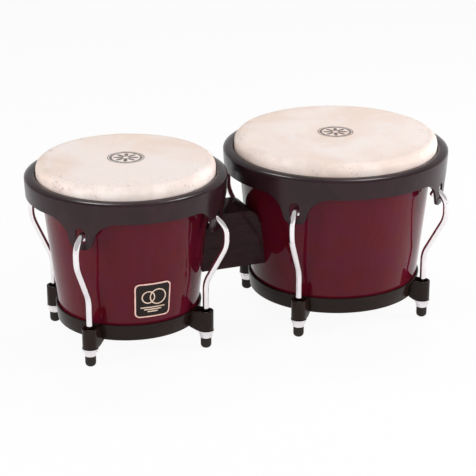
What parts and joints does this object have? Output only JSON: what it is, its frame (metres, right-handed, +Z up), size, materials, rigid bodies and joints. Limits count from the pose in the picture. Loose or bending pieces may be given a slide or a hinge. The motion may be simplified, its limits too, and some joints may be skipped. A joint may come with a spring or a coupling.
{
  "type": "bongo drums",
  "caption": "Pair of joined hand drums with tapered lacquered shells, rawhide heads, rolled steel rims, hooked tuning rods, bottom rings and a wooden centre block",
  "frame": {"origin": "centre of the bounding box at the plane the rubber tips stand on", "axes": "+X from the small drum to the large drum, +Z up, -Y towards the side with the badge"},
  "size_m": [0.4292, 0.224, 0.1815],
  "materials": {
    "lacquered_shell": "high gloss burgundy lacquer over wood",
    "block_wood": "dark satin gloss stain",
    "rawhide": "natural rawhide, matt, slightly mottled",
    "black_steel": "satin black powder coat",
    "zinc_steel": "plain zinc plate",
    "chrome_hardware": "bright chrome plate",
    "rubber_tip": "black moulded rubber",
    "badge_metal": "black enamel with a rose gold border"
  },
  "bodies": {
    "frame": {"small_shell": "lacquered_shell", "small_bottom_ring": "black_steel", "large_shell": "lacquered_shell", "large_bottom_ring": "black_steel", "small_lug_1_washer": "chrome_hardware", "small_lug_2_washer": "chrome_hardware", "small_lug_3_washer": "chrome_hardware", "small_lug_4_washer": "chrome_hardware", "large_lug_1_washer": "chrome_hardware", "large_lug_2_washer": "chrome_hardware", "large_lug_3_washer": "chrome_hardware", "large_lug_4_washer": "chrome_hardware", "centre_block": "block_wood", "lower_bolt": "zinc_steel", "lower_bolt_head_washer": "zinc_steel", "lower_bolt_nut_washer": "zinc_steel", "lower_bolt_nut": "zinc_steel", "upper_bolt": "zinc_steel", "upper_bolt_head_washer": "zinc_steel", "upper_bolt_nut_washer": "zinc_steel", "upper_bolt_nut": "zinc_steel", "badge": "badge_metal"},
    "small_head_assembly": {"small_rim": "black_steel", "small_head": "rawhide", "small_flesh_hoop": "zinc_steel", "small_lug_1_rod": "chrome_hardware", "small_lug_2_rod": "chrome_hardware", "small_lug_3_rod": "chrome_hardware", "small_lug_4_rod": "chrome_hardware"},
    "large_head_assembly": {"large_rim": "black_steel", "large_head": "rawhide", "large_flesh_hoop": "zinc_steel", "large_lug_1_rod": "chrome_hardware", "large_lug_2_rod": "chrome_hardware", "large_lug_3_rod": "chrome_hardware", "large_lug_4_rod": "chrome_hardware"},
    "small_tuning_nut_1": {"small_lug_1_nut": "chrome_hardware", "small_lug_1_rubber_tip": "rubber_tip"},
    "small_tuning_nut_2": {"small_lug_2_nut": "chrome_hardware", "small_lug_2_rubber_tip": "rubber_tip"},
    "small_tuning_nut_3": {"small_lug_3_nut": "chrome_hardware", "small_lug_3_rubber_tip": "rubber_tip"},
    "small_tuning_nut_4": {"small_lug_4_nut": "chrome_hardware", "small_lug_4_rubber_tip": "rubber_tip"},
    "large_tuning_nut_1": {"large_lug_1_nut": "chrome_hardware", "large_lug_1_rubber_tip": "rubber_tip"},
    "large_tuning_nut_2": {"large_lug_2_nut": "chrome_hardware", "large_lug_2_rubber_tip": "rubber_tip"},
    "large_tuning_nut_3": {"large_lug_3_nut": "chrome_hardware", "large_lug_3_rubber_tip": "rubber_tip"},
    "large_tuning_nut_4": {"large_lug_4_nut": "chrome_hardware", "large_lug_4_rubber_tip": "rubber_tip"}
  },
  "joints": [
    {"name": "small_head_tuning", "type": "slide", "parent": "frame", "child": "small_head_assembly", "axis": [0, 0, 1], "range_m": [0, 0.005]},
    {"name": "large_head_tuning", "type": "slide", "parent": "frame", "child": "large_head_assembly", "axis": [0, 0, 1], "range_m": [0, 0.005]},
    {"name": "small_nut_1_turn", "type": "hinge", "parent": "frame", "child": "small_tuning_nut_1", "pos_m": [-0.05885, 0.05855, 0.014], "axis": [0, 0, -1], "range_deg": [0, 1800]},
    {"name": "small_nut_2_turn", "type": "hinge", "parent": "frame", "child": "small_tuning_nut_2", "pos_m": [-0.17595, 0.05855, 0.014], "axis": [0, 0, -1], "range_deg": [0, 1800]},
    {"name": "small_nut_3_turn", "type": "hinge", "parent": "frame", "child": "small_tuning_nut_3", "pos_m": [-0.17595, -0.05855, 0.014], "axis": [0, 0, -1], "range_deg": [0, 1800]},
    {"name": "small_nut_4_turn", "type": "hinge", "parent": "frame", "child": "small_tuning_nut_4", "pos_m": [-0.05885, -0.05855, 0.014], "axis": [0, 0, -1], "range_deg": [0, 1800]},
    {"name": "large_nut_1_turn", "type": "hinge", "parent": "frame", "child": "large_tuning_nut_1", "pos_m": [0.1702, 0.0676, 0.014], "axis": [0, 0, -1], "range_deg": [0, 1800]},
    {"name": "large_nut_2_turn", "type": "hinge", "parent": "frame", "child": "large_tuning_nut_2", "pos_m": [0.035, 0.0676, 0.014], "axis": [0, 0, -1], "range_deg": [0, 1800]},
    {"name": "large_nut_3_turn", "type": "hinge", "parent": "frame", "child": "large_tuning_nut_3", "pos_m": [0.035, -0.0676, 0.014], "axis": [0, 0, -1], "range_deg": [0, 1800]},
    {"name": "large_nut_4_turn", "type": "hinge", "parent": "frame", "child": "large_tuning_nut_4", "pos_m": [0.1702, -0.0676, 0.014], "axis": [0, 0, -1], "range_deg": [0, 1800]}
  ],
  "couplings": [
    {"joint": "small_nut_1_turn", "follows": "small_head_tuning", "rad_per_m": 6283.2},
    {"joint": "small_nut_2_turn", "follows": "small_head_tuning", "rad_per_m": 6283.2},
    {"joint": "small_nut_3_turn", "follows": "small_head_tuning", "rad_per_m": 6283.2},
    {"joint": "small_nut_4_turn", "follows": "small_head_tuning", "rad_per_m": 6283.2},
    {"joint": "large_nut_1_turn", "follows": "large_head_tuning", "rad_per_m": 6283.2},
    {"joint": "large_nut_2_turn", "follows": "large_head_tuning", "rad_per_m": 6283.2},
    {"joint": "large_nut_3_turn", "follows": "large_head_tuning", "rad_per_m": 6283.2},
    {"joint": "large_nut_4_turn", "follows": "large_head_tuning", "rad_per_m": 6283.2}
  ]
}
